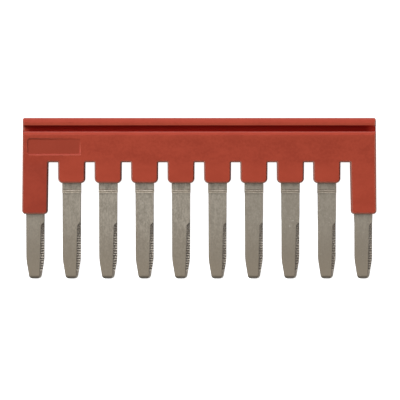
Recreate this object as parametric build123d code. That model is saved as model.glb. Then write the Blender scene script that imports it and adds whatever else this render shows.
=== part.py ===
from build123d import *

import math
import os

# Plug-in jumper bar for a row of terminal blocks: two alike stamped contact combs,
# laid back to back and held in one moulded insulating housing. All sizes in mm.
# It lies on its back: X along the bar, Y towards the pull edge, Z out of the front.

# Row of contacts
pole_count = 10
pole_pitch = 5.2

# Housing, seen from the front
housing_thickness = 3.0
end_wall_reach = 1.775
end_wall_draft_deg = 0.4
head_height = 6.35
head_corner_radius = 0.28
edge_bevel = 0.12
pull_edge_radius = 0.34

# Pull groove, one on the front and one on the back
pull_rail_height = 1.03
pull_groove_width = 0.91
pull_groove_web = 1.0
groove_lower_lip_radius = 0.2
groove_upper_lip_radius = 0.06
groove_floor_radius = 0.15

# Collars round the inner contacts and the two long end legs
collar_width = 3.85
collar_root_growth = 0.04
collar_length = 2.93
collar_corner_radius = 0.65
end_leg_length = 7.3
end_leg_inner_reach = 1.86
end_leg_inner_draft_deg = 0.85
end_leg_corner_radius = 0.5
notch_corner_bevel = 0.11

# Bare label field, sunk into the front only
label_width = 7.45
label_height = 2.31
label_end_inset = 0.82
label_groove_inset = 1.0
label_depth = 0.12
label_wall_draft_deg = 40
label_round_corner = 0.37

# Stamped sheet of each contact comb
sheet_thickness = 0.5
bus_groove_cover = 0.55
bus_notch_cover = 0.6
bus_root_bevel = 0.3
neck_width = 2.7
blade_width = 2.61
blade_low_width = 2.565
neck_end_drop = 0.19
neck_step_height = 0.09
blade_reach = 16.6
shoulder_height = 2.73
shoulder_radius = 7.7
tip_width = 1.6
tip_corner_radius = 0.33

# Forming of each blade, seen from the side
neck_exposure = 0.96
joggle_height = 0.48
joggle_spread = 0.45
joggle_inner_radius = 0.16
joggle_outer_radius = 0.62
bow_middle_drop = 6.3
bow_radius = 80.0
bow_deg = 3.0
tip_bend_height = 0.36
tip_bend_deg = 20.0
tip_bend_radius = 0.7

# Margin cut away on one side of each blade, which bares the ribs on its partner
margin_start_drop = 4.1
margin_slant_height = 0.5
margin_edge_upper = 0.72
margin_edge_lower = 0.6
margin_corner_radius = 0.3

# Coined ribs across the inner face, under the margin that the partner lacks
rib_pitch = 0.356
rib_tip_gap = 1.66
rib_crest_depth = 0.02
rib_height = 0.1
rib_hidden_reach = 0.1

# Allowance by which a cutting solid passes the face that it cuts
cut_past = 1.0

# Places that follow from the sizes above
part_height = head_height + blade_reach
top_y = part_height / 2
notch_y = top_y - head_height
tip_y = notch_y - blade_reach
rail_bottom_y = top_y - pull_rail_height
groove_bottom_y = rail_bottom_y - pull_groove_width
collar_bottom_y = notch_y - collar_length
leg_bottom_y = notch_y - end_leg_length
end_pin_x = pole_pitch * (pole_count - 1) / 2
bus_top_y = groove_bottom_y - bus_groove_cover
bus_bottom_y = notch_y + bus_notch_cover
joggle_top_y = collar_bottom_y - neck_exposure
joggle_bottom_y = joggle_top_y - joggle_height
neck_end_y = joggle_top_y - neck_end_drop
blade_face_z = sheet_thickness + joggle_spread
margin_start_y = joggle_bottom_y - margin_start_drop
rib_count = int((margin_start_y - tip_y - rib_tip_gap) / rib_pitch)
part_length_past = 2 * (end_pin_x + pole_pitch)


def end_wall_x(y):
    """Half the housing's length at a height, which grows downwards by the draft."""
    return end_pin_x + end_wall_reach + (top_y - y) * math.tan(math.radians(end_wall_draft_deg))


def pin_places():
    """Places of all contacts along the bar."""
    return GridLocations(pole_pitch, 0, pole_count, 1)


def collar_places():
    """Places of the contacts between the two end legs."""
    return GridLocations(pole_pitch, 0, pole_count - 2, 1)


def outline_part(points, radii):
    """Face inside a closed run of points, each corner rounded by its own radius."""
    return make_face(FilletPolyline(*points, radius=radii, close=True))


def side_solid(face):
    """A face drawn in Y and Z, drawn out along the whole bar."""
    return extrude(Plane.YZ * face, amount=part_length_past / 2, both=True)


# Housing

def head_face():
    """Front view of the solid head above the notches."""
    low_x = end_wall_x(notch_y)
    high_x = end_wall_x(top_y)
    points = [(-low_x, notch_y), (low_x, notch_y), (high_x, top_y), (-high_x, top_y)]
    return outline_part(points, [0, 0, head_corner_radius, head_corner_radius])


def collar_face():
    """Front view of one collar, hung from the head."""
    root = collar_width / 2 + collar_root_growth / 2
    low = collar_width / 2
    points = [(-root, notch_y), (-low, collar_bottom_y), (low, collar_bottom_y), (root, notch_y)]
    return outline_part(points, [0, collar_corner_radius, collar_corner_radius, 0])


def end_leg_face(side):
    """Front view of one end leg: side is -1 for the left one and 1 for the right one."""
    inner_x = end_pin_x - end_leg_inner_reach
    inner_low_x = inner_x + end_leg_length * math.tan(math.radians(end_leg_inner_draft_deg))
    points = [
        (side * inner_x, notch_y),
        (side * end_wall_x(notch_y), notch_y),
        (side * end_wall_x(leg_bottom_y), leg_bottom_y),
        (side * inner_low_x, leg_bottom_y),
    ]
    return outline_part(points, [0, 0, end_leg_corner_radius, end_leg_corner_radius])


def housing_front_face():
    """Whole front outline, with the small bevels at the roots of the notches."""
    face = head_face() + end_leg_face(-1) + end_leg_face(1)
    face = face + [place * collar_face() for place in collar_places()]
    roots = [v for v in face.vertices() if abs(v.Y - notch_y) < 1e-4 and abs(v.X) < end_pin_x]
    return chamfer(roots, notch_corner_bevel)


def housing_side_face():
    """End view: rounded pull edge, and a groove with a rounded lower lip on each side."""
    half = housing_thickness / 2
    low_y = leg_bottom_y - cut_past
    face = outline_part(
        [(low_y, -half), (top_y, -half), (top_y, half), (low_y, half)],
        [0, pull_edge_radius, pull_edge_radius, 0],
    )
    web = pull_groove_web / 2
    past = half + cut_past
    groove = outline_part(
        [(groove_bottom_y, past), (groove_bottom_y, web), (rail_bottom_y, web), (rail_bottom_y, past)],
        [0, groove_floor_radius, groove_floor_radius, 0],
    )
    face = face - groove - mirror(groove, Plane.XZ)
    lower_lips = [v for v in face.vertices() if abs(v.X - groove_bottom_y) < 1e-4 and abs(v.Y) > half - 1e-4]
    face = fillet(lower_lips, groove_lower_lip_radius)
    upper_lips = [v for v in face.vertices() if abs(v.X - rail_bottom_y) < 1e-4 and abs(v.Y) > half - 1e-4]
    return fillet(upper_lips, groove_upper_lip_radius)


def label_pocket():
    """Cutting solid of the label field, with drafted walls."""
    left_x = label_end_inset - end_wall_x(groove_bottom_y)
    high_y = groove_bottom_y - label_groove_inset
    right_x = left_x + label_width
    low_y = high_y - label_height
    corners = [label_round_corner, 0, 0, label_round_corner]
    face = outline_part([(left_x, low_y), (right_x, low_y), (right_x, high_y), (left_x, high_y)], corners)
    front = Pos(0, 0, housing_thickness / 2) * face
    return extrude(front, amount=-label_depth, taper=label_wall_draft_deg)


def housing_body():
    """Moulded block before the metal is let into it."""
    half = housing_thickness / 2
    block = extrude(housing_front_face(), amount=half, both=True)
    rims = block.edges().filter_by_position(Axis.Z, half, half)
    rims = rims + block.edges().filter_by_position(Axis.Z, -half, -half)
    block = chamfer(rims, edge_bevel)
    return (block & side_solid(housing_side_face())) - label_pocket()


# Contact combs

def blade_corners():
    """Right half of a blade's full outline, from its root in the bus strip to its tip."""
    return [
        (neck_width / 2, bus_bottom_y),
        (neck_width / 2, neck_end_y),
        (blade_width / 2, neck_end_y - neck_step_height),
        (blade_low_width / 2, tip_y + shoulder_height),
        (tip_width / 2, tip_y),
    ]


def full_blade_face():
    """Front view of a blade with neither margin cut away."""
    right = blade_corners()
    left = [(-x, y) for x, y in reversed(right)]
    radii = [0, 0, 0, shoulder_radius, 0, 0, shoulder_radius, 0, 0, 0]
    return outline_part(right + left, radii)


def missing_margin_face():
    """Front view of the margin that the front comb's blades lack, on their right."""
    past_x = blade_width / 2 + cut_past
    past_y = tip_y - cut_past
    slant_x = blade_width / 2
    points = [
        (past_x, margin_start_y),
        (slant_x, margin_start_y),
        (margin_edge_upper, margin_start_y - margin_slant_height),
        (margin_edge_lower, tip_y),
        (margin_edge_lower, past_y),
        (past_x, past_y),
    ]
    return outline_part(points, [0, 0, margin_corner_radius, 0, 0, 0])


def leaf_face():
    """Front view of one blade of the front comb, with its tip corners rounded."""
    face = full_blade_face() - missing_margin_face()
    tips = face.vertices().group_by(Axis.Y)[0]
    return fillet(tips, tip_corner_radius)


def outer_points():
    """Corners of a formed blade's outer face from the side, from the bus strip's top to the tip."""
    bow_y = joggle_bottom_y - bow_middle_drop
    bend_y = tip_y + tip_bend_height
    bend_z = blade_face_z - (bow_y - bend_y) * math.tan(math.radians(bow_deg))
    end_z = bend_z - tip_bend_height * math.tan(math.radians(tip_bend_deg))
    return [
        (bus_top_y, sheet_thickness),
        (joggle_top_y, sheet_thickness),
        (joggle_bottom_y, blade_face_z),
        (bow_y, blade_face_z),
        (bend_y, bend_z),
        (tip_y, end_z),
    ]


def outer_radii():
    """Outer radii of the two joggle bends, the bow and the bend near the tip."""
    return [joggle_inner_radius, joggle_outer_radius, bow_radius, tip_bend_radius]


def outer_line():
    """Outer face of a formed blade from the side."""
    return FilletPolyline(*outer_points(), radius=outer_radii())


def sheet_side_face():
    """Side view of the formed sheet: the outer line given the sheet's thickness."""
    return make_face(outer_line().offset_2d(sheet_thickness, side=Side.LEFT, closed=True))


def inner_point(tip_distance, depth):
    """Point sunk into a blade's inner face by a depth, at a distance from the tip along the sheet."""
    line = outer_line()
    along = 1 - tip_distance / line.length
    run = line % along
    inward = Vector(-run.Y, run.X)
    return line @ along + inward * (sheet_thickness - depth)


def ribbed_face():
    """Side view of what coining presses out of the inner face to leave the ribs."""
    points = [inner_point(rib_tip_gap, rib_crest_depth)]
    for i in range(rib_count):
        crest = rib_tip_gap + (i + 1) * rib_pitch
        points.append(inner_point(crest - rib_pitch / 2, rib_crest_depth + rib_height))
        points.append(inner_point(crest, rib_crest_depth))
    ribs_length = rib_count * rib_pitch
    points.append(inner_point(rib_tip_gap + ribs_length, -cut_past))
    points.append(inner_point(rib_tip_gap, -cut_past))
    return make_face(Polyline(*points, close=True))


def rib_cutter():
    """Cutting solid of the ribs, as wide as the margin that the partner lacks."""
    inner_x = -(margin_edge_lower - rib_hidden_reach)
    outer_x = -(blade_width / 2 + cut_past)
    return extrude(Plane.YZ.offset(outer_x) * ribbed_face(), amount=inner_x - outer_x)


def contact_blade():
    """One formed blade of the front comb, centred across the bar."""
    blank = extrude(leaf_face(), amount=2 * blade_face_z, both=True)
    sheet = extrude(Plane.YZ * sheet_side_face(), amount=neck_width, both=True)
    return (blank & sheet) - rib_cutter()


def front_comb():
    """Bus strip with a blade below each pole, and rounds at the roots of the blades."""
    length = 2 * end_pin_x + neck_width
    height = bus_top_y - bus_bottom_y
    strip = Box(length, height, sheet_thickness, align=(Align.CENTER, Align.MIN, Align.MIN))
    blade = contact_blade()
    comb = Pos(0, bus_bottom_y, 0) * strip + [place * blade for place in pin_places()]
    roots = comb.edges().filter_by(Axis.Z).filter_by(lambda e: abs(e.center().Y - bus_bottom_y) < 1e-4)
    return chamfer(roots, bus_root_bevel)


def rear_comb():
    """The same comb turned about the blades' direction, so that it faces the other way."""
    return Rot(0, 180, 0) * front_comb()


def leg_slots():
    """Room in the end legs for a whole pair of blades, with nothing between them."""
    points = outer_points()
    mirrored = [(y, -z) for y, z in reversed(points)]
    radii = outer_radii()
    pair = outline_part(points + mirrored, [0, *radii, 0, 0, *reversed(radii), 0])
    slot = extrude(full_blade_face(), amount=2 * blade_face_z, both=True) & side_solid(pair)
    return [Pos(side * end_pin_x, 0, 0) * slot for side in (-1, 1)]


def main():
    """Builds the pieces, sets the back of the housing on Z = 0 and writes them."""
    front = front_comb()
    rear = rear_comb()
    housing = housing_body() - leg_slots() - front - rear
    pieces = {
        "insulating_housing": housing,
        "front_contact_comb": front,
        "rear_contact_comb": rear,
    }
    os.makedirs("parts", exist_ok=True)
    for name, piece in pieces.items():
        lying = Pos(0, 0, housing_thickness / 2) * piece
        export_step(lying, f"parts/{name}.step")


if __name__ == "__main__":
    main()
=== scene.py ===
import math

import bmesh
import bpy
from bpy.props import FloatProperty, FloatVectorProperty, IntProperty, PointerProperty
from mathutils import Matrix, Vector


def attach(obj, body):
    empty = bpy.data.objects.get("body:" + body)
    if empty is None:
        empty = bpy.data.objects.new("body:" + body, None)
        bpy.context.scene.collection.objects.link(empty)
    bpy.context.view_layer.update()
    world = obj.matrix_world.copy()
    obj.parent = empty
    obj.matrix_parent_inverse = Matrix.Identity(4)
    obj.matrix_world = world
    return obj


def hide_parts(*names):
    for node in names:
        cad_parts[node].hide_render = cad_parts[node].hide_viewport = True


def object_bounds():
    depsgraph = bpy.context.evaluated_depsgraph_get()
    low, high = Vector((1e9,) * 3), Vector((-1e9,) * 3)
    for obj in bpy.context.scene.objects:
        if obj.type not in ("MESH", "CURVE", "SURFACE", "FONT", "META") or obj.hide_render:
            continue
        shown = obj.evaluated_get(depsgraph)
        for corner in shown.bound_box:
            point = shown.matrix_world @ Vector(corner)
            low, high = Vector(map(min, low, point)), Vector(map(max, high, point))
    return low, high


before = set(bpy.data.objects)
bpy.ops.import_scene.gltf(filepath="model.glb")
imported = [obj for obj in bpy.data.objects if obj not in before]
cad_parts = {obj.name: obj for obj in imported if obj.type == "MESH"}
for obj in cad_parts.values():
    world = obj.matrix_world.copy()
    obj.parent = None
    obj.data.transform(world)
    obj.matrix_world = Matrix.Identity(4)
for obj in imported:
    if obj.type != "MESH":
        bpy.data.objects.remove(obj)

bl_info = {
    "name": "Terminal Block Jumper Bar",
    "version": (1, 0, 0),
    "blender": (4, 5, 0),
    "location": "3D View > Sidebar > Jumper Bar",
    "description": "Moulded housing and two stamped contact combs of a plug-in jumper bar",
    "category": "Object",
}

MM = 0.001
CAD_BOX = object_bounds()
BAR_LENGTH = CAD_BOX[1].x - CAD_BOX[0].x
BAR_THICKNESS = CAD_BOX[1].z - CAD_BOX[0].z
PULL_EDGE_Y = CAD_BOX[1].y
TIP_Y = CAD_BOX[0].y
HOUSING_NODE = "insulating_housing"
COMB_NODES = ("front_contact_comb", "rear_contact_comb")

# A face looks along an axis where this much of its normal lies along it
FACE_UP = 0.9

# In metres: how near two places are one, and how far past a limit a place may lie
SAME_PLACE = 2e-6
WELD_GAP = 2e-7
CUT_GAP = 1e-8
HAIR = 1e-6
SLACK = 1e-5

# Turns between two faces: parts of a flat face, edges worth rounding, and square edges
FLAT_TURN = math.radians(0.05)
EDGE_TURN = math.radians(24)
MOULDED_SQUARE = math.radians(70)
SHEARED_SQUARE = math.radians(66)

# Skin of the housing as a share of its thickness. Back marks: height in the head, places in
# the row and taper. The gate's stub: its reach in depths of a mark, and its inset
SKIN = 0.1
MARK_HEIGHT = 0.33
MARK_PLACES = (-1, -0.42, 0.42, 1)
MARK_TAPER = 0.94
STUB_REACH = (0.2, 3)
STUB_INSET = 0.12

# Sections of a blade: spacing, least gap, end of the joggle, and parts of the tip
SECTION_SPACING = 0.9 * MM
SECTION_GAP = 0.011 * MM
JOGGLE_END = 0.05 * MM
TIP_CORNER_PARTS = (0.73, 0.46, 0.22, 0.0)
TIP_PARTS = 6

# Joggle: start of the inner swell, in sheets above it, its parts, the radius that ends the
# outer swell, and how far the fine edges reach, in heights of a step
SWELL_START = 0.44
SWELL_PARTS = 4
SWELL_RADIUS = 1.6 * MM
FINE_REACH = 2.5

# Stage: place and size of each light in metres, the floor and the film, the contacts' level
# as a share of the thickness, and what the camera sees as shares of its distance
KEY_LIGHT = (-0.3, 0.48, 0.4), (0.7, 0.42)
TOP_LIGHT = (0.12, 0.17, 0.72), (0.8, 0.46)
FLOOR_SIZE = 8
FILM_WIDTH = 36.0
CONTACT_LEVEL = 0.8
CLIP_SHARES = (0.05, 40)


# Properties

def setting(kind, description, default, **details):
    """A value that a user may change, which its group makes into a property."""
    return kind, {"description": description, "default": default, **details}


def length(description, millimetres, low=0.0):
    """A size, given here in millimetres."""
    return setting(
        FloatProperty, description, millimetres * MM,
        min=low, unit="LENGTH", subtype="DISTANCE", precision=5,
    )


def angle(description, degrees):
    """An angle, given here in degrees."""
    turn = math.radians(degrees)
    return setting(FloatProperty, description, turn, min=0.0, unit="ROTATION", subtype="ANGLE")


def colour(description, value):
    """A linear colour."""
    details = {"size": 3, "min": 0.0, "max": 1.0, "subtype": "COLOR"}
    return setting(FloatVectorProperty, description, value, **details)


def share(description, value):
    """A plain number."""
    return setting(FloatProperty, description, value, min=0.0)


def named(group):
    """Makes the properties of a group, each of them named after its key."""
    for key, (kind, details) in group.__annotations__.items():
        name = key.replace("_", " ").capitalize()
        group.__annotations__[key] = kind(name=name, **details)
    return group


@named
class RowSizes(bpy.types.PropertyGroup):
    """The row of poles, shared by the housing and the combs"""
    pole_count: setting(IntProperty, "Number of contacts in the row", 10, min=4)
    pole_pitch: length("Distance between neighbouring contacts", 5.2)
    head_height: length("From the pull edge down to the notches", 6.35)
    collar_length: length("From the notches down to a collar's end", 2.97)


@named
class HousingSizes(bpy.types.PropertyGroup):
    """Sizes of the moulded housing"""
    end_wall_draft: angle("Slope of the two end walls", 0.4)
    head_corner: length("Radius at the ends of the pull edge", 0.28)
    rim: length("Rounding of the outline's edges", 0.26)
    pull_edge: length("Rounding along the pull edge", 0.72)
    rail_height: length("From the pull edge to the groove", 1.11)
    groove_width: length("Height of the pull groove", 0.85)
    groove_web: length("Plastic between the two grooves", 1.0)
    lower_lip: length("Rounding of the groove's lower edge", 0.53)
    upper_lip: length("Rounding of the groove's upper edge", 0.04)
    groove_floor: length("Rounding along the groove's floor", 0.15)
    collar_width: length("Width of a collar at its end", 3.82)
    collar_growth: length("How much wider a collar is at its root", 0.04)
    collar_corner: length("Radius at a collar's end", 0.65)
    leg_length: length("From the notches down to an end leg's end", 7.39)
    leg_inner_reach: length("From the outer contact to the leg's inner side", 1.86)
    leg_draft: angle("Slope of a leg's inner side", 0.85)
    leg_corner: length("Radius at an end leg's end", 0.5)
    notch_root: length("Radius in the corners of the notches", 0.11)


@named
class LabelSizes(bpy.types.PropertyGroup):
    """Sizes of the bare label field and of the marks on the back"""
    width: length("Length of the field along the bar", 7.58)
    height: length("Height of the field", 2.35)
    end_inset: length("From the end wall to the field", 0.66)
    groove_inset: length("From the groove down to the field", 1.0)
    depth: length("How far the field is sunk", 0.13)
    wall_run: length("How far the field's walls lean inwards", 0.105)
    round_corner: length("Radius of the field's outer corners", 0.37)
    edge: length("Rounding of the field's edges", 0.085)
    pin_mark: length("Diameter of an ejector mark on the back", 1.5)
    pin_mark_depth: length("How far an ejector mark is sunk", 0.05)
    gate_mark: length("Diameter of the dimple round the gate", 1.9)
    gate_stub: length("Diameter of the broken-off gate", 0.8)


@named
class ContactSizes(bpy.types.PropertyGroup):
    """Sizes of the stamped and formed contact combs"""
    sheet: length("Thickness of the metal", 0.5)
    edge: length("Rounding of the sheared edges", 0.045)
    edge_fine: length("Rounding of the sheared edges at the joggle", 0.012)
    bus_top_cover: length("Plastic between groove and bus strip", 0.55)
    bus_low_cover: length("Plastic between notches and bus strip", 0.6)
    neck_width: length("Width of a blade where it leaves the plastic", 2.7)
    blade_width: length("Width of a blade below its joggle", 2.61)
    blade_low_width: length("Width of a blade above its shoulder", 2.565)
    neck_drop: length("From the joggle's start to the neck's end", 0.42)
    neck_step: length("Height over which the neck narrows", 0.09)
    neck_exposure: length("From the collar's end to the joggle", 0.92)
    shoulder_height: length("From the tip to the shoulder", 2.73)
    shoulder_radius: length("Radius of the shoulder", 7.7)
    tip_width: length("Width of a pair of blades at the tip", 1.65)
    tip_corner: length("Radius of the tip's corners", 0.42)
    tip_bend: angle("Slope of the tip", 38.0)
    tip_bend_height: length("From the tip to the bend near it", 0.29)
    tip_bend_radius: length("Radius of the bend near the tip", 0.12)
    joggle_height: length("Height of the double step", 0.395)
    joggle_spread: length("How far it brings the blade out", 0.45)
    joggle_rise: length("Height of each of the two steep steps", 0.082)
    joggle_tilt: length("How far the land between the steps leans each way", 0.014)
    joggle_swell: length("How far the lower crest stands out of the face", 0.02)
    joggle_fall: length("Height over which the swell runs out", 0.36)
    joggle_crest: length("Radius on the crest of each step", 0.13)
    bow: angle("Turn of the blade towards its partner", 3.0)
    bow_drop: length("From the joggle's end to the middle of the bow", 6.42)
    bow_radius: length("Radius of the blade's bow", 80.0)
    margin_drop: length("From the joggle's end to the cut-away margin", 4.22)
    margin_slant: length("Height of the slant at the margin's start", 0.46)
    margin_upper: length("From the blade's middle to the cut, at its top", 0.83)
    margin_lower: length("From the blade's middle to the cut, at the tip", 0.62)
    margin_corner: length("Radius where the slant meets the cut", 0.25)
    rib_pitch: length("Distance between the coined ribs", 0.3595)
    rib_tip_gap: length("From the tip to the first rib", 1.218)
    rib_crest: length("How far the crests lie under the face", 0.02)
    rib_height: length("Height of the ribs, and width of their inner slope", 0.13)
    rib_hidden: length("How far the ribs run under the partner", 0.1)


@named
class PlasticFinish(bpy.types.PropertyGroup):
    """Look of the red moulded plastic"""
    base: colour("The plastic in bulk", (0.455, 0.063, 0.031))
    deep: colour("Darker, purer red in the clouds", (0.378, 0.048, 0.0225))
    # Also painted as light on the head's front, lighter towards the groove
    lively: colour("Brighter red of collars and rail", (0.51, 0.074, 0.036))
    # Duller red of the left leg, and painted shade on faces turned upwards round the label field
    aged: colour("Duller red of the left leg and the field's walls", (0.33, 0.043, 0.023))
    # Painted to damp the highlight: a purer, darker red on faces tilted up towards the light
    fresh: colour("Purer red that fingers polish", (0.43, 0.03, 0.014))
    shaded: colour("Pure red in the depth of the groove", (0.44, 0.018, 0.010))
    glowing: colour("The groove's right end, lit through", (0.80, 0.06, 0.035))
    # Painted highlight: a paler tone on edges that face the light
    highlit: colour("Paler tone of rubbed edges", (0.50, 0.215, 0.20))
    # Painted light on rims facing down, left and right, and a painted highlight round the label
    # field
    bruised: colour("Pale tone of edges at the contact side", (0.66, 0.25, 0.175))
    # Painted shade on rims turned away from the light
    soiled: colour("Dark tone of edges round the notches", (0.185, 0.075, 0.06))
    cloud_size: length("Size of the slow colour clouds", 2.6)
    mottle_size: length("Size of the fine mottle", 0.42)
    grain_size: length("Size of the eroded mould grain", 0.085)
    grain_depth: length("Depth of the mould grain", 0.006)


@named
class MetalFinish(bpy.types.PropertyGroup):
    """Look of the plated sheet"""
    plating: colour("Warm grey of the plated sheet", (0.565, 0.508, 0.422))
    # Also painted as light falling off towards the bar's ends
    dull: colour("Duller clouds in the plating", (0.39, 0.346, 0.282))
    warm: colour("Yellower tone towards the tips", (0.50, 0.42, 0.32))
    bright: colour("Small bright flecks", (0.70, 0.66, 0.585))
    coined: colour("The ribbed inner faces", (0.56, 0.495, 0.42))
    # Painted highlight on the ribs' upper flanks, the strip's ends and the joggle's crest
    polished: colour("Upper flanks and ends of the ribs", (0.84, 0.78, 0.69))
    # Painted shade on the ribs' lower flanks, and tarnish on the sheared sides
    tarnished: colour("Lower flanks and sheared sides", (0.24, 0.215, 0.185))
    cloud_size: length("Size of the dull clouds", 0.55)
    grain_size: length("Size of the matt grain", 0.07)
    rolling_size: length("Distance between the rolling lines", 0.12)


@named
class StageSettings(bpy.types.PropertyGroup):
    """Camera and studio light"""
    focal_length: share("Camera lens in millimetres", 450.0)
    view_width: length("Width of the picture at the contacts", 57.04)
    aim_x: length("Middle of the picture along the bar", 0.1, low=-BAR_LENGTH)
    aim_y: length("Middle of the picture across the bar", -0.26, low=-BAR_LENGTH)
    floor_colour: colour("The pale floor", (0.93, 0.93, 0.93))
    floor_glow: share("Light that the floor gives off itself", 0.95)
    sky: share("Strength of the even light from all round", 0.2)
    key: share("Power of the key light in watts", 5.3)
    top: share("Power of the overhead light in watts", 0.8)


# Shaping by hand

def start_block(name, low, high):
    """Adds a block between two corners, with its place in its mesh, and opens it for editing."""
    middle = [(a + b) / 2 for a, b in zip(low, high)]
    span = [b - a for a, b in zip(low, high)]
    select_nothing()
    bpy.ops.mesh.primitive_cube_add(size=1, location=middle, scale=span)
    return settle_new(name)


def start_disc(name, x, y, diameter, low_z, high_z, sides=40):
    """Adds a short cylinder that stands upright, and opens it for editing."""
    select_nothing()
    bpy.ops.mesh.primitive_cylinder_add(
        vertices=sides, radius=diameter / 2, depth=high_z - low_z,
        location=(x, y, (low_z + high_z) / 2),
    )
    return settle_new(name)


def settle_new(name):
    """Names a new primitive, puts its place in its mesh and opens it for editing."""
    bpy.ops.object.transform_apply(location=True, rotation=True, scale=True)
    piece = bpy.context.object
    piece.name = name
    piece.data.name = name
    bpy.ops.object.mode_set(mode="EDIT")
    return piece


def leave_editing():
    """Closes the piece that is open for editing, if there is one."""
    if bpy.context.object is not None and bpy.context.object.mode != "OBJECT":
        bpy.ops.object.mode_set(mode="OBJECT")


def select_nothing():
    """Leaves editing and deselects every object, the CAD nodes among them."""
    leave_editing()
    bpy.ops.object.select_all(action="DESELECT")


def make_active(piece):
    """Selects one piece alone."""
    select_nothing()
    piece.select_set(True)
    bpy.context.view_layer.objects.active = piece


def edit(piece):
    """Opens a piece for editing."""
    make_active(piece)
    bpy.ops.object.mode_set(mode="EDIT")


def pick_all(action="SELECT"):
    """Selects the whole piece that is open for editing, or nothing of it."""
    bpy.ops.mesh.select_all(action=action)


def pick(piece, kind, wanted):
    """Selects the faces, edges or corners that a test on their place wants, and nothing else."""
    bpy.ops.mesh.select_mode(type=kind)
    pick_all("DESELECT")
    shape = bmesh.from_edit_mesh(piece.data)
    shape.normal_update()
    if kind == "FACE":
        found = [f for f in shape.faces if wanted(f.calc_center_median(), f.normal)]
    elif kind == "EDGE":
        found = [e for e in shape.edges if wanted(e.verts[0].co, e.verts[1].co)]
    else:
        found = [v for v in shape.verts if wanted(v.co)]
    if not found:
        raise RuntimeError(f"{piece.name}: no {kind.lower()} lies where one is wanted")
    for part in found:
        part.select_set(True)
    shape.select_flush_mode()
    bmesh.update_edit_mesh(piece.data)


def cut_picked(place, normal):
    """Divides the selected faces along a plane."""
    bpy.ops.mesh.bisect(plane_co=place, plane_no=normal, threshold=CUT_GAP)


def pull_picked(*way):
    """Extrudes the selected faces by a distance."""
    bpy.ops.mesh.extrude_region_move(TRANSFORM_OT_translate={"value": way})


def shift_picked(*way):
    """Moves what is selected."""
    bpy.ops.transform.translate(value=way)


def taper_picked(x, y, z, shrink_x, shrink_y):
    """Shrinks the selected face towards its middle."""
    bpy.ops.transform.resize(value=(shrink_x, shrink_y, 1), center_override=(x, y, z))


def round_picked(radius, steps):
    """Rounds the selected edges."""
    bpy.ops.mesh.bevel(offset=radius, segments=steps, affect="EDGES", clamp_overlap=False)


def tidy_shape(piece):
    """Merges doubles, joins the parts of flat faces and turns all faces outwards."""
    bpy.ops.mesh.select_mode(type="VERT")
    pick_all()
    bpy.ops.mesh.remove_doubles(threshold=WELD_GAP)
    bpy.ops.mesh.dissolve_limited(angle_limit=FLAT_TURN)
    pick_all()
    bpy.ops.mesh.normals_make_consistent(inside=False)


def near(a, b):
    """True where two places are the same, to a few thousandths of a millimetre."""
    return abs(a - b) < SAME_PLACE


def apply_all(piece):
    """Applies a piece's modifiers in their order."""
    make_active(piece)
    for modifier in list(piece.modifiers):
        bpy.ops.object.modifier_apply(modifier=modifier.name)


def carve(piece, cutter, operation="DIFFERENCE"):
    """Cuts a piece with another one, which is then thrown away."""
    leave_editing()
    change = piece.modifiers.new(cutter.name, "BOOLEAN")
    change.operation = operation
    change.solver = "EXACT"
    change.object = cutter
    apply_all(piece)
    bpy.data.objects.remove(cutter)


def rounded_run(points, radii, steps):
    """Points of a run in a plane whose inner corners are rounded, each by its own radius."""
    run = [Vector(points[0])]
    for before, corner, after, radius in zip(points, points[1:], points[2:], radii):
        corner = Vector(corner)
        if radius == 0:
            run.append(corner)
            continue
        back = (Vector(before) - corner).normalized()
        onward = (Vector(after) - corner).normalized()
        half = back.angle(onward) / 2
        reach = radius / math.tan(half)
        centre = corner + (back + onward).normalized() * radius / math.sin(half)
        first = corner + back * reach - centre
        last = corner + onward * reach - centre
        turn = first.angle(last)
        for i in range(steps + 1):
            part = i / steps
            mixed = first * math.sin((1 - part) * turn) + last * math.sin(part * turn)
            run.append(centre + mixed / math.sin(turn))
    run.append(Vector(points[-1]))
    return run


def read_off(run, at, key=0, value=1):
    """Reads one coordinate off a run at a place along the other, which may rise or fall."""
    for a, b in zip(run, run[1:]):
        if min(a[key], b[key]) <= at <= max(a[key], b[key]) and a[key] != b[key]:
            return a[value] + (b[value] - a[value]) * (at - a[key]) / (b[key] - a[key])
    nearest = min(run[0], run[-1], key=lambda end: abs(at - end[key]))
    return nearest[value]


# Heights that the pieces share

def pole_places(row, skip=0):
    """Places of the contacts along the bar, leaving out some at each end."""
    half = (row.pole_count - 1) / 2
    return [(i - half) * row.pole_pitch for i in range(skip, row.pole_count - skip)]


def notch_level(row):
    """Height at which the head ends and the notches start."""
    return PULL_EDGE_Y - row.head_height


def collar_level(row):
    """Height at which the collars end."""
    return notch_level(row) - row.collar_length


def groove_levels(sizes):
    """Heights of the pull groove's upper and lower edge."""
    rail_y = PULL_EDGE_Y - sizes.rail_height
    return rail_y, rail_y - sizes.groove_width


def web_levels(sizes):
    """How far the two faces of the grooves' web lie off the bar's back."""
    return (BAR_THICKNESS - sizes.groove_web) / 2, (BAR_THICKNESS + sizes.groove_web) / 2


def end_wall_x(sizes, row, y):
    """Half the housing's length at a height: it grows downwards by the draft."""
    low_y = notch_level(row) - sizes.leg_length
    return BAR_LENGTH / 2 - (y - low_y) * math.tan(sizes.end_wall_draft)


# Housing

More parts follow.
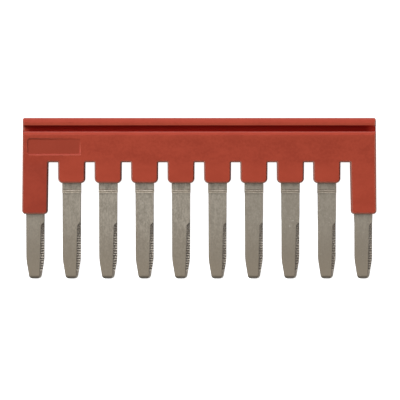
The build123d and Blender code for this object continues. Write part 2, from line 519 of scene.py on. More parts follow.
def mould_head(sizes, row):
    """Head block with its pull groove on both sides, shaped from a plain block upwards."""
    end_x = end_wall_x(sizes, row, PULL_EDGE_Y)
    rail_y, groove_y = groove_levels(sizes)
    web_low, web_high = web_levels(sizes)
    housing = start_block(
        "moulded_housing", (-end_x, notch_level(row), 0), (end_x, groove_y, BAR_THICKNESS),
    )
    for z in (web_low, web_high):
        pick(housing, "FACE", lambda c, n: n.y > FACE_UP)
        cut_picked((0, 0, z), (0, 0, 1))
    pick(housing, "FACE", lambda c, n: n.y > FACE_UP and web_low < c.z < web_high)
    pull_picked(0, sizes.groove_width, 0)
    pull_picked(0, sizes.rail_height, 0)
    for side in (-1, 1):
        pick(housing, "FACE", lambda c, n: n.z * side > FACE_UP and c.y > rail_y)
        pull_picked(0, 0, side * web_low)
    return housing


def mould_collars_and_legs(housing, sizes, row):
    """Collars round the inner contacts and a long leg at each end, drawn out of the head."""
    notch_y = notch_level(row)
    root = (sizes.collar_width + sizes.collar_growth) / 2
    leg_inner = pole_places(row)[-1] - sizes.leg_inner_reach
    inner_places = pole_places(row, 1)

    def under_head(c, n):
        return n.y < -FACE_UP and near(c.y, notch_y)

    def over_collar(x):
        return any(abs(x - place) < root for place in inner_places)

    for x in [x + side * root for x in inner_places for side in (-1, 1)] + [-leg_inner, leg_inner]:
        pick(housing, "FACE", under_head)
        cut_picked((x, 0, 0), (1, 0, 0))
    pick(housing, "FACE", lambda c, n: under_head(c, n) and over_collar(c.x))
    pull_picked(0, -row.collar_length, 0)
    for side in (-1, 1):
        pick(housing, "VERT", lambda p: near(p.y, collar_level(row)) and any(
            near(p.x, place + side * root) for place in inner_places))
        shift_picked(-side * sizes.collar_growth / 2, 0, 0)
    pick(housing, "FACE", lambda c, n: under_head(c, n) and abs(c.x) > leg_inner)
    pull_picked(0, -sizes.leg_length, 0)
    leg_y = notch_y - sizes.leg_length
    inward = sizes.leg_length * math.tan(sizes.leg_draft)
    top_end = end_wall_x(sizes, row, PULL_EDGE_Y)
    for side in (-1, 1):
        pick(housing, "VERT", lambda p: near(p.y, leg_y) and near(p.x, side * leg_inner))
        shift_picked(side * inward, 0, 0)
        corners = bmesh.from_edit_mesh(housing.data).verts
        levels = {round(v.co.y, 7) for v in corners if near(v.co.x, side * top_end)}
        for level in sorted(levels):
            pick(housing, "VERT", lambda p: near(p.y, level) and near(p.x, side * top_end))
            shift_picked(side * (end_wall_x(sizes, row, level) - top_end), 0, 0)
    tidy_shape(housing)


def round_outline(housing, sizes, row):
    """Rounds the outline's corners, which are edges that run through the thickness."""
    for level, radius, steps in (
        (collar_level(row), sizes.collar_corner, 9),
        (notch_level(row) - sizes.leg_length, sizes.leg_corner, 8),
        (notch_level(row), sizes.notch_root, 4),
    ):
        pick(housing, "EDGE", lambda a, b: near(a.x, b.x) and not near(a.z, b.z)
             and near(a.y, level) and near(b.y, level))
        round_picked(radius, steps)
    tidy_shape(housing)


def sink_label_field(housing, label, sizes, row):
    """Sinks the bare label field into the front: two round corners and leaning walls."""
    groove_y = groove_levels(sizes)[1]
    left = label.end_inset - end_wall_x(sizes, row, groove_y)
    right = left + label.width
    high = groove_y - label.groove_inset
    low = high - label.height
    middle_y = (low + high) / 2
    floor_z = BAR_THICKNESS - label.depth
    pick(housing, "FACE", lambda c, n: n.z > FACE_UP and near(c.z, BAR_THICKNESS))
    cut_picked((0, middle_y, 0), (0, 1, 0))
    cutter = start_block("label_field", (left, low, floor_z), (right, high, BAR_THICKNESS))
    pick(cutter, "EDGE", lambda a, b: near(a.x, left) and near(b.x, left) and near(a.y, b.y))
    round_picked(label.round_corner, steps=7)
    shrink = [(size - 2 * label.wall_run) / size for size in (label.width, label.height)]
    pick(cutter, "FACE", lambda c, n: n.z < -FACE_UP)
    taper_picked((left + right) / 2, middle_y, floor_z, *shrink)
    pick(cutter, "FACE", lambda c, n: n.z > FACE_UP)
    pull_picked(0, 0, label.depth)
    carve(housing, cutter)


def sink_back_marks(housing, label, row):
    """Shallow ejector marks and the gate's dimple on the back, as moulding leaves them."""
    middle_y = notch_level(row) + row.head_height * MARK_HEIGHT
    deep = label.pin_mark_depth
    reach = row.pole_pitch * (row.pole_count - 1) / 2
    marks = [(reach * part, label.pin_mark) for part in MARK_PLACES] + [(0.0, label.gate_mark)]
    edit(housing)
    pick(housing, "FACE", lambda c, n: n.z < -FACE_UP and near(c.z, 0))
    cut_picked((0, middle_y, 0), (0, 1, 0))
    for i, (x, wide) in enumerate(marks):
        cutter = start_disc(f"back_mark_{i}", x, middle_y, wide, -deep, deep)
        pick(cutter, "FACE", lambda c, n: n.z > FACE_UP)
        taper_picked(x, middle_y, deep, MARK_TAPER, MARK_TAPER)
        carve(housing, cutter)
    low_z, high_z = (deep * part for part in STUB_REACH)
    stub = start_disc("gate_stub", 0.0, middle_y, label.gate_stub, low_z, high_z)
    pick(stub, "FACE", lambda c, n: n.z < -FACE_UP)
    bpy.ops.mesh.inset(thickness=label.gate_stub * STUB_INSET, depth=deep * STUB_INSET)
    carve(housing, stub, "UNION")


def round_edges(piece, radius_of, widest, steps):
    """Rounds each sharp edge by its own radius and keeps flat faces flat in the light."""
    edit(piece)
    shape = bmesh.from_edit_mesh(piece.data)
    shape.normal_update()
    layer = shape.edges.layers.float.new("bevel_weight_edge")
    for e in shape.edges:
        turn = e.calc_face_angle(0)
        if len(e.link_faces) == 2 and turn > EDGE_TURN:
            e[layer] = radius_of(e.verts[0].co, e.verts[1].co, turn) / widest
    bmesh.update_edit_mesh(piece.data)
    make_active(piece)
    bpy.ops.object.shade_smooth()
    change = piece.modifiers.new("rounding", "BEVEL")
    change.limit_method = "WEIGHT"
    change.width = widest
    change.segments = steps
    change.use_clamp_overlap = False
    change.harden_normals = True
    change.miter_outer = "MITER_SHARP"
    flatten = piece.modifiers.new("flat_faces", "WEIGHTED_NORMAL")
    flatten.keep_sharp = True
    apply_all(piece)


def model_housing(context):
    """Models the whole housing and puts it in the place of its CAD node."""
    scene = context.scene
    sizes, row, label = scene.jumper_housing, scene.jumper_row, scene.jumper_label
    housing = mould_head(sizes, row)
    mould_collars_and_legs(housing, sizes, row)
    round_outline(housing, sizes, row)
    sink_label_field(housing, label, sizes, row)
    sink_back_marks(housing, label, row)
    rail_y, groove_y = groove_levels(sizes)

    def radius_of(a, b, turn):
        level = near(a.z, b.z)
        along = level and near(a.y, b.y)
        outside = level and (near(a.z, 0) or near(a.z, BAR_THICKNESS))
        if near(a.y, b.y) and near(a.y, PULL_EDGE_Y):
            return sizes.pull_edge if along else sizes.head_corner
        if along and outside and near(a.y, groove_y):
            return sizes.lower_lip
        if along and outside and near(a.y, rail_y):
            return sizes.upper_lip
        if along and any(near(a.z, z) for z in web_levels(sizes)):
            return sizes.groove_floor
        if outside and turn > MOULDED_SQUARE:
            return sizes.rim
        if level and a.z > BAR_THICKNESS * (1 - SKIN):
            return label.edge
        if max(a.z, b.z) < BAR_THICKNESS * SKIN:
            return label.edge / 2
        in_head = min(a.y, b.y) > notch_level(row)
        return sizes.upper_lip if in_head and not level and turn > MOULDED_SQUARE else 0.0

    round_edges(housing, radius_of, widest=sizes.pull_edge, steps=4)
    finish_piece(housing, red_plastic(scene.jumper_plastic), HOUSING_NODE)


# Contact combs

def joggle_levels(sizes, row):
    """Heights at which the joggle starts and ends."""
    joggle_y = collar_level(row) - sizes.neck_exposure
    return joggle_y, joggle_y - sizes.joggle_height


def joggle_hollows(sizes, row):
    """Heights of the two crisp hollows, one above each step."""
    joggle_y, joggle_low_y = joggle_levels(sizes, row)
    return joggle_y, joggle_low_y + sizes.joggle_rise


def swell_level(sizes, row):
    """Height at which the swell behind the joggle starts."""
    return joggle_levels(sizes, row)[0] + sizes.sheet * SWELL_START


def inner_height(sizes, row, y):
    """Inner face of the blade at the joggle: one soft swell behind the two steps."""
    swell_y = swell_level(sizes, row)
    part = (swell_y - y) / (swell_y - joggle_levels(sizes, row)[1])
    part = min(max(part, 0.0), 1.0)
    return BAR_THICKNESS / 2 + sizes.joggle_spread * part * part * (3 - 2 * part)


def side_run(sizes, row):
    """Outer face of a formed blade from the side, as heights and distances off the bar's back."""
    flat_z = BAR_THICKNESS / 2 + sizes.sheet
    face_z = flat_z + sizes.joggle_spread
    joggle_y, joggle_low_y = joggle_levels(sizes, row)
    bow_y = joggle_low_y - sizes.bow_drop
    bend_y = TIP_Y + sizes.tip_bend_height
    bend_z = face_z - (bow_y - bend_y) * math.tan(sizes.bow)
    land_z = (flat_z + face_z) / 2
    points = [
        (notch_level(row) + sizes.bus_low_cover, flat_z),
        (joggle_y, flat_z),
        (joggle_y - sizes.joggle_rise, land_z + sizes.joggle_tilt),
        (joggle_low_y + sizes.joggle_rise, land_z - sizes.joggle_tilt),
        (joggle_low_y, face_z + sizes.joggle_swell),
        (joggle_low_y - sizes.joggle_fall, face_z),
        (bow_y, face_z),
        (bend_y, bend_z),
        (TIP_Y, bend_z - sizes.tip_bend_height * math.tan(sizes.tip_bend)),
    ]
    crest = sizes.joggle_crest
    radii = [0, crest, 0, crest / 2, SWELL_RADIUS, sizes.bow_radius, sizes.tip_bend_radius]
    return rounded_run(points, radii, steps=6)


def outline_runs(sizes, row):
    """Front outline of a blade: half its full width, and the edge left by the cut-away margin."""
    joggle_y, joggle_low_y = joggle_levels(sizes, row)
    neck_y = joggle_y - sizes.neck_drop
    full = rounded_run(
        [
            (notch_level(row) + sizes.bus_low_cover, sizes.neck_width / 2),
            (neck_y, sizes.neck_width / 2),
            (neck_y - sizes.neck_step, sizes.blade_width / 2),
            (TIP_Y + sizes.shoulder_height, sizes.blade_low_width / 2),
            (TIP_Y, sizes.tip_width / 2),
        ],
        [0, 0, sizes.shoulder_radius], steps=12,
    )
    start_y = joggle_low_y - sizes.margin_drop
    margin = rounded_run(
        [
            (start_y, sizes.blade_width / 2),
            (start_y - sizes.margin_slant, sizes.margin_upper),
            (TIP_Y, sizes.margin_lower),
        ],
        [sizes.margin_corner], steps=4,
    )
    return full, margin, start_y


def tip_rounding(sizes, y):
    """How far the tip's round corner takes the outline in at a height."""
    gap = sizes.tip_corner - (y - TIP_Y)
    if gap <= 0:
        return 0.0
    return sizes.tip_corner - math.sqrt(max(sizes.tip_corner ** 2 - gap ** 2, 0.0))


def walk_along(run):
    """Gives each point of a side run its distance along the run and the blade's lean there."""
    walked = [0.0]
    for a, b in zip(run, run[1:]):
        walked.append(walked[-1] + (b - a).length)
    slopes = [math.atan2(b.y - a.y, a.x - b.x) for a, b in zip(run, run[1:])]
    leans = [slopes[0]] + [(a + b) / 2 for a, b in zip(slopes, slopes[1:])] + [slopes[-1]]
    return [(s, p.x, p.y, lean) for s, p, lean in zip(walked, run, leans)]


def section_places(sizes, row, track, start_y):
    """Distances along a blade at which it gets a section: ribs, bends, steps and the tip."""
    joggle_y, joggle_low_y = joggle_levels(sizes, row)
    total = track[-1][0]
    first_gap, corner = sizes.rib_tip_gap, sizes.tip_corner
    quarter = sizes.rib_pitch / 4
    ribbed = int((total - first_gap - read_off(track, start_y, 1, 0)) / quarter + 0.5)
    stops = {total - first_gap - i * quarter for i in range(ribbed + 1)}
    first_rib = min(stops)
    bow_start = joggle_low_y - (sizes.bow_drop - sizes.bow_radius * math.tan(sizes.bow / 2))
    stops |= {s for s, y, _, _ in track[1:-1] if y > bow_start + SLACK}
    neck_y = joggle_y - sizes.neck_drop
    swell_y = swell_level(sizes, row)
    levels = [neck_y, neck_y - sizes.neck_step, collar_level(row)]
    levels += [swell_y + (joggle_y - swell_y) * i / SWELL_PARTS for i in range(SWELL_PARTS)]
    stops |= {read_off(track, y, 1, 0) for y in levels}
    reach = first_rib - max(s for s in stops if s < first_rib)
    count = max(1, int(reach / SECTION_SPACING))
    stops |= {first_rib - reach * i / count for i in range(1, count)}
    stops |= {total - corner - (first_gap - corner) * i / TIP_PARTS for i in range(TIP_PARTS)}
    stops |= {total - corner * part for part in TIP_CORNER_PARTS}
    ordered = []
    for s in sorted(stops):
        if not ordered or s - ordered[-1] > SECTION_GAP:
            ordered.append(s)
    return ordered


def blade_sections(sizes, row):
    """Sections of a blade from the bus strip down: four corners each, and the way to the tip."""
    track = walk_along(side_run(sizes, row))
    full, margin, start_y = outline_runs(sizes, row)
    joggle_end_y = joggle_levels(sizes, row)[1] - JOGGLE_END
    sections = []
    for s in section_places(sizes, row, track, start_y):
        y, z, lean = (read_off(track, s, 0, part) for part in (1, 2, 3))
        half = read_off(full, y) if y > TIP_Y else sizes.tip_width / 2
        right = half if y > start_y else min(half, read_off(margin, y))
        taken = tip_rounding(sizes, y)
        if y > joggle_end_y:
            inner_y, inner_z = y, inner_height(sizes, row, y)
        else:
            chamfered = TIP_Y + sizes.tip_bend_height - y
            if chamfered > -sizes.tip_bend_radius:
                lean = -sizes.bow
            straight_z = z + max(chamfered, 0.0) * (math.tan(sizes.tip_bend) - math.tan(sizes.bow))
            inner_y = y - math.sin(lean) * sizes.sheet
            inner_z = straight_z - math.cos(lean) * sizes.sheet
        sides = (-half + taken, right - taken)
        corners = [(x, y, z) for x in sides] + [(x, inner_y, inner_z) for x in sides]
        sections.append((corners, track[-1][0] - s))
    return sections


def form_cell(sizes, row, housing_sizes):
    """One pole of the front comb: its piece of the bus strip and its formed blade."""
    middle_z = BAR_THICKNESS / 2
    bus_low = notch_level(row) + sizes.bus_low_cover
    bus_high = groove_levels(housing_sizes)[1] - sizes.bus_top_cover
    half_pitch = row.pole_pitch / 2
    outer_z = middle_z + sizes.sheet
    corners = (-half_pitch, bus_low, middle_z), (half_pitch, bus_high, outer_z)
    cell = start_block("contact_cell", *corners)
    for x in (-sizes.neck_width / 2, sizes.neck_width / 2):
        pick(cell, "FACE", lambda c, n: n.y < -FACE_UP)
        cut_picked((x, 0, 0), (1, 0, 0))
    pick(cell, "FACE", lambda c, n: n.y < -FACE_UP and near(c.x, 0))
    sections = blade_sections(sizes, row)
    for corners, _ in sections:
        draw_out_to(cell, corners)
    for level in joggle_hollows(sizes, row):
        pick(cell, "EDGE", lambda a, b: near(a.y, level) and near(b.y, level)
             and near(a.z, b.z) and a.z > outer_z - SLACK)
        bpy.ops.mesh.mark_sharp()
    coin_ribs(cell, sizes, sections)
    pick(cell, "FACE", lambda c, n: near(abs(c.x), half_pitch))
    bpy.ops.mesh.delete(type="ONLY_FACE")
    leave_editing()
    return cell


def draw_out_to(piece, corners):
    """Extrudes the selected end face and carries its corners to the next section."""
    pull_picked(0, 0, 0)
    shape = bmesh.from_edit_mesh(piece.data)
    ends = [v for v in shape.verts if v.select]
    by_z = sorted(ends, key=lambda v: v.co.z)
    inner = sorted(by_z[:2], key=lambda v: v.co.x)
    outer = sorted(by_z[2:], key=lambda v: v.co.x)
    for corner, place in zip(outer + inner, corners):
        pick_all("DESELECT")
        corner.select_set(True)
        shape.select_flush_mode()
        shift_picked(*(Vector(place) - corner.co))
    pick_all("DESELECT")
    for corner in ends:
        corner.select_set(True)
    shape.select_flush(True)
    bmesh.update_edit_mesh(piece.data)


def coin_ribs(cell, sizes, sections):
    """Coins the ribs into the inner face, under the margin that the partner lacks."""
    ribbed = [
        (corners[2], gap - sizes.rib_tip_gap) for corners, gap in sections
        if gap > sizes.rib_tip_gap - HAIR and corners[1][0] < sizes.blade_low_width / 2 - SLACK
    ]
    low_y = min(inner[1] for inner, _ in ribbed) - SLACK
    high_y = max(inner[1] for inner, _ in ribbed) + SLACK
    edge_x = -(sizes.margin_lower - sizes.rib_hidden)
    for x in (edge_x, edge_x + sizes.rib_height):
        pick(cell, "FACE", lambda c, n: n.z < -FACE_UP and low_y < c.y < high_y)
        cut_picked((x, 0, 0), (1, 0, 0))
    quarter = sizes.rib_pitch / 4
    half_deep = sizes.rib_crest + sizes.rib_height / 2
    depths = (sizes.rib_crest, half_deep, sizes.rib_crest + sizes.rib_height, half_deep)
    for phase, depth in enumerate(depths):
        places = [p for p, way in ribbed if round(way / quarter) % len(depths) == phase]
        pick(cell, "VERT", lambda p: p.x < edge_x + HAIR and any(
            near(p.y, y) and near(p.z, z) for _, y, z in places))
        shift_picked(0, 0, depth)


def repeat_cell(cell, sizes, row):
    """Repeats the cell along the bus strip and trims the strip's two ends."""
    cell.name = "front_comb"
    repeat = cell.modifiers.new("poles", "ARRAY")
    repeat.count = row.pole_count
    repeat.use_relative_offset = False
    repeat.use_constant_offset = True
    repeat.constant_offset_displace = (row.pole_pitch, 0, 0)
    repeat.use_merge_vertices = True
    repeat.merge_threshold = WELD_GAP * 10
    apply_all(cell)
    edit(cell)
    pick_all()
    shift_picked(pole_places(row)[0], 0, 0)
    end_x = pole_places(row)[-1]
    bus_low = notch_level(row) + sizes.bus_low_cover - HAIR
    for side in (-1, 1):
        trim_x = side * (end_x + sizes.neck_width / 2)
        pick(cell, "FACE", lambda c, n: side * c.x > end_x - row.pole_pitch / 2 and c.y > bus_low)
        bpy.ops.mesh.bisect(
            plane_co=(trim_x, 0, 0), plane_no=(side, 0, 0), clear_outer=True, threshold=CUT_GAP,
        )
        pick(cell, "EDGE", lambda a, b: near(a.x, trim_x) and near(b.x, trim_x)
             and min(a.y, b.y) > bus_low)
        bpy.ops.mesh.edge_face_add()
    pick_all()
    bpy.ops.mesh.remove_doubles(threshold=WELD_GAP)
    bpy.ops.mesh.normals_make_consistent(inside=False)
    leave_editing()


def turned_copy(comb, name):
    """A copy of the comb with its own mesh, turned about the blades' direction."""
    make_active(comb)
    bpy.ops.object.duplicate(linked=False)
    other = bpy.context.object
    other.name = name
    other.data.name = name
    edit(other)
    pick_all()
    bpy.ops.transform.rotate(
        value=math.pi, orient_axis="Y", center_override=(0, 0, BAR_THICKNESS / 2),
    )
    leave_editing()
    return other


def model_combs(context):
    """Models the front comb, and the rear comb as its turned copy."""
    scene = context.scene
    sizes, row = scene.jumper_contacts, scene.jumper_row
    comb = form_cell(sizes, row, scene.jumper_housing)
    repeat_cell(comb, sizes, row)
    high_y, low_y = joggle_hollows(sizes, row)
    high_y += sizes.edge
    low_y -= FINE_REACH * sizes.joggle_rise

    def radius_of(a, b, turn):
        if turn < SHEARED_SQUARE:
            return 0.0
        return sizes.edge_fine if low_y < (a.y + b.y) / 2 < high_y else sizes.edge

    round_edges(comb, radius_of, widest=sizes.edge, steps=2)
    metal = plated_metal(scene.jumper_metal, row.pole_pitch)
    for piece, node in zip((comb, turned_copy(comb, "rear_comb")), COMB_NODES):
        finish_piece(piece, metal, node)


def finish_piece(piece, material, node):
    """Gives a finished piece its material and its body, and hides the CAD node that it stands for.
    """
    make_active(piece)
    piece.data.materials.clear()
    piece.data.materials.append(material)
    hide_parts(node)
    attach(piece, "root")


# Materials

def sums(operation, turned=False):
    """An arithmetic operator on sockets, which adds a Math node. A turned one swaps its sides."""
    def work(self, other=0.0):
        return self.maths(operation, *((other, self) if turned else (self, other)))
    return work


class Wire:
    """A socket of a material, on which arithmetic works as on a number."""
    __add__ = __radd__ = sums("ADD")
    __mul__ = __rmul__ = sums("MULTIPLY")
    __sub__ = sums("SUBTRACT")
    __rsub__ = sums("SUBTRACT", turned=True)
    __truediv__ = sums("DIVIDE")
    __abs__ = sums("ABSOLUTE")

    def __init__(self, tree, socket=None):
        self.tree = tree
        self.socket = socket

    def node(self, kind, settings=None, sockets=None, output=0):
        """Adds a node: its settings come first, then the values or links of its sockets."""
        made = self.tree.nodes.new(kind)
        for name, value in (settings or {}).items():
            setattr(made, name, value)
        for key, value in (sockets or {}).items():
            if isinstance(value, Wire):
                self.tree.links.new(value.socket, made.inputs[key])
            else:
                made.inputs[key].default_value = value
        return Wire(self.tree, made.outputs[output]) if len(made.outputs) else made

    def maths(self, operation, first, second=0.0, clamp=False):
        """Adds a Math node for two values or sockets."""
        settings = {"operation": operation, "use_clamp": clamp}
        return self.node("ShaderNodeMath", settings, {0: first, 1: second})

    def clamped(self):
        """The same value, held between 0 and 1."""
        return self.maths("ADD", self, 0.0, clamp=True)

    def rise(self, low, high):
        """0 below a value and 1 above another, with a smooth step between."""
        sockets = {"Value": self, "From Min": low, "From Max": high}
        return self.node("ShaderNodeMapRange", {"interpolation_type": "SMOOTHSTEP"}, sockets)

    def fall(self, low, high):
        """1 below a value and 0 above another, with a smooth step between."""
        return 1 - self.rise(low, high)

    def past(self, low, high):
        """The rise of a place, with both values in millimetres."""
        return self.rise(low * MM, high * MM)

    def before(self, low, high):
        """The fall of a place, with both values in millimetres."""
        return 1 - self.past(low, high)

    def mix(self, first, second):
        """Blends two colours, by how far this mask is from 0 to 1."""
        first, second = (c if isinstance(c, Wire) else (*c, 1) for c in (first, second))
        sockets = {0: self, 6: first, 7: second}
        return self.node("ShaderNodeMix", {"data_type": "RGBA"}, sockets, output=2)

    def noise(self, size, detail=2.0, roughness=0.5, stretch=(1, 1, 1), shift=(0, 0, 0)):
        """Noise at a place, with cells of a size in metres that may be stretched along the axes."""
        scale = [s / size for s in stretch]
        sockets = {"Vector": self, "Location": shift, "Scale": scale}
        mapping = self.node("ShaderNodeMapping", {}, sockets)
        sockets = {"Vector": mapping, "Scale": 1.0, "Detail": detail, "Roughness": roughness}
        return self.node("ShaderNodeTexNoise", {}, sockets)

    def bump(self, depth, normal=None):
        """A bump of this height from 0 to 1, with a depth in metres."""
        sockets = {"Height": self, "Strength": 1.0, "Distance": depth}
        if normal is not None:
            sockets["Normal"] = normal
        return self.node("ShaderNodeBump", {}, sockets)

    def parts(self):
        """The three parts of a vector."""
        x = self.node("ShaderNodeSeparateXYZ", {}, {"Vector": self})
        return [Wire(self.tree, part) for part in x.socket.node.outputs]


def start_material(name):
    """An empty material with its tree."""
    material = bpy.data.materials.new(name)
    material.use_nodes = True
    material.node_tree.nodes.clear()
    return material, Wire(material.node_tree)


def end_material(bench, sockets):
    """Adds the surface shader and the output."""
    shader = bench.node("ShaderNodeBsdfPrincipled", {}, sockets)
    bench.node("ShaderNodeOutputMaterial", {}, {"Surface": shader})


def layered(tone, layers):
    """Lays colours over a tone in their order, each where its mask says."""
    for mask, top in layers:
        tone = mask.mix(tone, top)
    return tone


def darker(tint, part):
    """A colour with this part of its brightness."""
    return tuple(value * part for value in tint)


def place_and_facing(bench):
    """Place on the object, and the surface's own direction there."""
    place = bench.node("ShaderNodeTexCoord", {}, {}, output=3)
    return place, Wire(bench.tree, place.socket.node.outputs[1])


def red_plastic(finish):
    """Matt red moulded plastic: clouds, mottle, mould grain, painted light and shade on the edges,
    and a parting line.
    """
    material, bench = start_material("red_moulded_plastic")
    place, facing = place_and_facing(bench)
    x, y, z = place.parts()
    nx, ny, nz = facing.parts()
    cloud = place.noise(finish.cloud_size, detail=3, stretch=(0.7, 1.2, 1))
    mottle = place.noise(finish.mottle_size, detail=4, roughness=0.6)
    # Noise that makes the painted light and shade on the edges patchy
    patchiness = place.noise(finish.mottle_size * 0.6, detail=3)
    grain = place.noise(finish.grain_size, detail=3, roughness=0.65)
    scuff = place.noise(0.5 * MM, detail=5, roughness=0.7, stretch=(0.35, 1.4, 1))

    # Which way the surface looks, and how far it lies off the middle of the thickness
    flat = abs(nz)
    under = (0 - ny).rise(0.1, 0.5)
    leftward = (0 - nx).rise(0.1, 0.4)
    off_middle = abs(z - BAR_THICKNESS / 2)

    # Parts of the housing
    below = y.before(4.2, 5.6)
    legs = abs(x).past(21.5, 22.0)
    left_leg, right_leg = x.before(-22.0, -21.5), x.past(21.5, 22.0)
    left_end, right_end = x.before(-24.9, -24.4), x.past(24.4, 24.9)
    groove = off_middle.before(0.8, 1.42) * y.past(9.41, 9.52) * y.before(10.43, 10.5)
    lower_lip = y.before(9.6, 10.4) * flat.fall(0.3, 0.5) * ny.rise(0.1, 0.2)
    field = off_middle.past(1.33, 1.36) * off_middle.before(1.40, 1.47) * flat.rise(0.8, 0.95)
    by_field = x.before(-17.0, -16.5) * x.past(-24.85, -24.75) * y.past(5.5, 5.7)
    by_field = by_field * y.before(8.9, 9.1)
    # Painted highlight round the label field's edges
    field_edge = by_field * off_middle.past(1.445, 1.475) * (1 - flat).rise(0.002, 0.03)

    # Edges: the outline's rims, edges facing the light with a painted highlight, painted shade on
    # the other rims, and painted light on rims that face down and left
    outline = (y.before(5.6, 5.8) + abs(x).past(24.85, 24.95)).clamped()
    rim = (1 - flat).rise(0.002, 0.06) * flat.rise(0.02, 0.25) * outline
    # Faces tilted up, and the two ends: where edges get a painted highlight
    lit_facing = (ny.rise(0.05, 0.5) + right_end + left_end * 0.3) * (1 - lower_lip)
    # Faces tilted up towards the light, painted purer and darker to damp their highlight
    fresh = ny.rise(0.06, 0.3) * ny.fall(0.7, 0.95) * flat.rise(0.3, 0.5)
    edge = (1 - flat).rise(0.2, 0.6) * flat.rise(0.0, 0.4)
    # Painted highlight on edges that face the light
    highlit = edge * lit_facing.clamped() * (0.33 + patchiness * 0.6) * (1 - groove * 0.9)
    # Painted shade on rims that face neither the light nor downwards
    soiled = rim * (1 - lit_facing.clamped()) * (0.55 + patchiness * 0.5) * (1 - under * 0.7)
    # Painted light on rims that face down and on rims that face left
    bruised = rim * (under * (0.6 + patchiness * 0.4) + leftward * 0.35).clamped()
    # Painted highlight on the right end's rims
    right_rim = right_end * nx.rise(0.02, 0.4) * flat.rise(0.02, 0.25) * (1 - groove)

    tone = (cloud * 0.55 + mottle * 0.45).rise(0.36, 0.66)
    body = layered(tone.mix(finish.base, finish.deep), (
        (below * (1 - legs) * (0.15 + mottle * 0.45), finish.lively),
        (below * left_leg * (0.2 + cloud * 0.4), finish.aged),
        (below * right_leg * 0.35, finish.lively),
        # Painted light: the head's front lighter from just below the groove upwards
        (y.past(8.1, 9.3) * 0.3, finish.lively),
        (field * 0.8, darker(finish.base, 0.8)),
        (groove * (1 - abs(x).past(23.8, 24.9) * 0.7), finish.shaded),
        (groove * x.past(23.6, 25.0), finish.glowing),
        # Painted shade on faces turned upwards round the label field
        (by_field * ny.rise(0.1, 0.4) * 0.6, finish.aged),
        (fresh * 0.35, finish.fresh),
        (highlit.clamped(), finish.highlit),
        (field_edge * (0.04 + patchiness * 0.26), finish.bruised),
        (soiled.clamped(), finish.soiled),
        (bruised, finish.bruised),
        # Painted light on the outline's downward faces
        (under * outline * (1 - flat).rise(0.1, 0.5) * 0.6, finish.bruised),
        (right_rim * 0.7, finish.bruised),
    ))
    seam = (1 - (off_middle / (0.035 * MM)).clamped()) * flat.fall(0.1, 0.3)
    end_material(bench, {
        "Base Color": body,
        "Roughness": 0.46 + mottle * 0.14 + scuff.rise(0.52, 0.72) * 0.08 + groove * 0.4,
        "Normal": seam.bump(0.02 * MM, grain.bump(finish.grain_depth)),
        "Specular IOR Level": 0.18,
    })
    return material


def plated_metal(finish, pitch):
    """Satin plated sheet: clouds, rolling lines, grain, flecks, and painted highlights and shade on
    the ribs and crest.
    """
    material, bench = start_material("plated_sheet_metal")
    place, facing = place_and_facing(bench)
    x, y, z = place.parts()
    nx, ny, nz = facing.parts()
    cloud = place.noise(finish.cloud_size, detail=4, roughness=0.6, stretch=(1, 0.55, 1))
    fine = place.noise(0.2 * MM, detail=3, roughness=0.6, stretch=(1, 0.6, 1))
    rolling = place.noise(finish.rolling_size, detail=3, roughness=0.6, stretch=(1, 0.03, 1))
    grain = place.noise(finish.grain_size, detail=2, roughness=0.6)
    sheared = place.noise(0.09 * MM, detail=3, stretch=(1, 1, 0.12))
    fleck = place.noise(0.33 * MM, detail=1, stretch=(0.6, 1.2, 1), shift=(4.1, 2.3, 0.0))
    streak = place.noise(1.3 * MM, detail=2, stretch=(1, 0.2, 0.2), shift=(0.7, 0.0, 0.0))

    # The ribbed inner faces, painted light and a painted glint at the strip's ends, painted
    # highlight and shade on the rib flanks, and the sheared sides
    off_middle = abs(z - BAR_THICKNESS / 2)
    coined = off_middle.before(0.5, 0.62) * y.before(-3.5, -3.2) * abs(nx).fall(0.4, 0.8)
    # Painted light where the front blade shades the strip's upper end, and a painted glint at its
    # tip
    strip_end_light = coined * (y.past(-8.5, -3.6) + y.before(-11.3, -11.0)).clamped()
    # Painted highlight and shade on the rib flanks, stronger on the left poles
    rib_shading = coined * (0.75 - x.past(-4, 4) * 0.5)
    side = (1 - abs(nz)).rise(0.55, 0.95) * abs(nx).rise(0.3, 0.8)

    # The joggle's upper crest, with a painted highlight in the middle of each blade
    crest = y.past(1.06, 1.13) * y.before(1.18, 1.25) * off_middle.past(0.6, 0.65)
    across = bench.maths("FRACT", x / pitch) - 0.5
    middle = across.rise(-0.2, -0.1) * across.fall(0.17, 0.23)

    dull = (cloud * 0.4 + fine * 0.4 + rolling * 0.2).rise(0.40, 0.60)
    tone = layered(dull.mix(finish.plating, finish.dull), (
        # Painted light falling off towards the bar's ends, away from x = -7.8 mm
        (abs(x + 7.8 * MM).past(3, 19) * (0.35 + fine * 0.6), finish.dull),
        (y.before(-12.5, -1.5) * (0.55 + cloud * 0.5), finish.warm),
        (fleck.rise(0.74, 0.79) * 0.7, finish.bright),
        (coined * (0.85 + fine * 0.15), finish.coined),
        (strip_end_light, finish.polished),
        (crest * middle * (0.15 + streak.rise(0.38, 0.58) * 0.4), finish.polished),
        (rib_shading * ny.rise(0.12, 0.4), finish.polished),
        (rib_shading * (0 - ny).rise(0.12, 0.4) * 0.7, finish.tarnished),
        (side * (0.35 + sheared * 0.4), finish.tarnished),
    ))
    end_material(bench, {
        "Base Color": tone,
        "Metallic": 1.0,
        "Roughness": 0.36 + dull * 0.1 + grain * 0.06 + side * 0.1 + coined * 0.06,
        "Normal": rolling.bump(0.0015 * MM, grain.bump(0.0022 * MM)),
    })
    return material


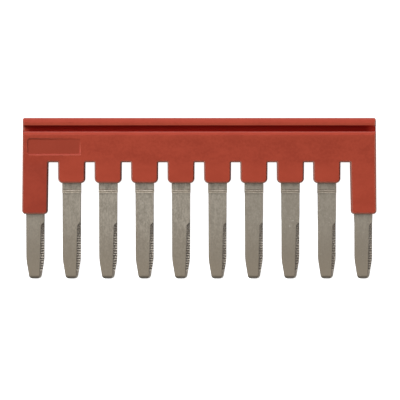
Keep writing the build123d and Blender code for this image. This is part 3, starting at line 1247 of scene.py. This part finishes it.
def pale_floor(settings):
    """Pale matt floor with a faint unevenness, which gives off light itself."""
    material, bench = start_material("pale_floor")
    place, _ = place_and_facing(bench)
    faint = place.noise(14 * MM, detail=3)
    tint = settings.floor_colour
    end_material(bench, {
        "Base Color": faint.mix(tint, darker(tint, 0.992)),
        "Roughness": 0.9,
        "Specular IOR Level": 0.0,
        "Emission Color": (1.0, 1.0, 1.0, 1.0),
        "Emission Strength": settings.floor_glow,
    })
    return material


# Stage

def add_softbox(name, place, size, aim, watts):
    """A soft rectangular light that looks at a place and isn't seen itself."""
    lamp = bpy.data.lights.new(name, "AREA")
    lamp.shape = "RECTANGLE"
    lamp.size, lamp.size_y = size
    lamp.energy = watts
    box = bpy.data.objects.new(name, lamp)
    bpy.context.scene.collection.objects.link(box)
    box.location = place
    box.rotation_euler = (Vector(aim) - Vector(place)).to_track_quat("-Z", "Y").to_euler()
    box.visible_camera = False


def set_stage(context):
    """Pale floor, key light from the upper left, top light, even ambient light and camera."""
    scene = context.scene
    settings = scene.jumper_stage
    select_nothing()
    bpy.ops.mesh.primitive_plane_add(size=FLOOR_SIZE, location=(0, 0, 0))
    floor = bpy.context.object
    floor.name = "studio_floor"
    floor.data.materials.append(pale_floor(settings))
    floor.visible_diffuse = False
    floor.visible_glossy = False
    add_softbox("key_light", *KEY_LIGHT, (0, 0, 0), settings.key)
    add_softbox("top_light", *TOP_LIGHT, (*TOP_LIGHT[0][:2], 0), settings.top)
    world = bpy.data.worlds.new("studio_world")
    scene.world = world
    world.use_nodes = True
    backdrop = world.node_tree.nodes["Background"]
    backdrop.inputs["Color"].default_value = (1.0, 1.0, 1.0, 1.0)
    backdrop.inputs["Strength"].default_value = settings.sky
    scene.view_settings.view_transform = "Standard"
    lens = bpy.data.cameras.new("photo_camera")
    lens.lens = settings.focal_length
    lens.sensor_width = FILM_WIDTH
    lens.dof.use_dof = False
    camera = bpy.data.objects.new("photo_camera", lens)
    scene.collection.objects.link(camera)
    distance = settings.view_width * settings.focal_length / lens.sensor_width
    contact_z = CONTACT_LEVEL * BAR_THICKNESS
    camera.location = (settings.aim_x, settings.aim_y, contact_z + distance)
    lens.clip_start, lens.clip_end = (distance * part for part in CLIP_SHARES)
    scene.camera = camera


# Operators and panel

class JUMPER_OT_housing(bpy.types.Operator):
    """Model the moulded housing with its grooves, collars, end legs and label field"""
    bl_idname = "jumper.housing"
    bl_label = "Housing"

    def execute(self, context):
        model_housing(context)
        return {"FINISHED"}


class JUMPER_OT_combs(bpy.types.Operator):
    """Model the two stamped contact combs"""
    bl_idname = "jumper.combs"
    bl_label = "Contact Combs"

    def execute(self, context):
        model_combs(context)
        return {"FINISHED"}


class JUMPER_OT_stage(bpy.types.Operator):
    """Set the pale floor, the soft light and the camera"""
    bl_idname = "jumper.stage"
    bl_label = "Stage"

    def execute(self, context):
        set_stage(context)
        return {"FINISHED"}


GROUPS = {
    "jumper_row": RowSizes,
    "jumper_housing": HousingSizes,
    "jumper_label": LabelSizes,
    "jumper_contacts": ContactSizes,
    "jumper_plastic": PlasticFinish,
    "jumper_metal": MetalFinish,
    "jumper_stage": StageSettings,
}
OPERATORS = (JUMPER_OT_housing, JUMPER_OT_combs, JUMPER_OT_stage)


class JUMPER_PT_panel(bpy.types.Panel):
    """Pieces of the jumper bar and their sizes"""
    bl_idname = "JUMPER_PT_panel"
    bl_label = "Jumper Bar"
    bl_space_type = "VIEW_3D"
    bl_region_type = "UI"
    bl_category = "Jumper Bar"

    def draw(self, context):
        for operator in OPERATORS:
            self.layout.operator(operator.bl_idname)
        for name in GROUPS:
            box = self.layout.box()
            group = getattr(context.scene, name)
            for key in group.__annotations__:
                box.prop(group, key)


CLASSES = (*GROUPS.values(), *OPERATORS, JUMPER_PT_panel)


def register():
    for kind in CLASSES:
        bpy.utils.register_class(kind)
    for name, group in GROUPS.items():
        setattr(bpy.types.Scene, name, PointerProperty(type=group))


def unregister():
    for name in GROUPS:
        delattr(bpy.types.Scene, name)
    for kind in reversed(CLASSES):
        bpy.utils.unregister_class(kind)


def main():
    """Builds every piece and the stage."""
    register()
    bpy.ops.jumper.housing()
    bpy.ops.jumper.combs()
    bpy.ops.jumper.stage()


if __name__ == "__main__":
    main()
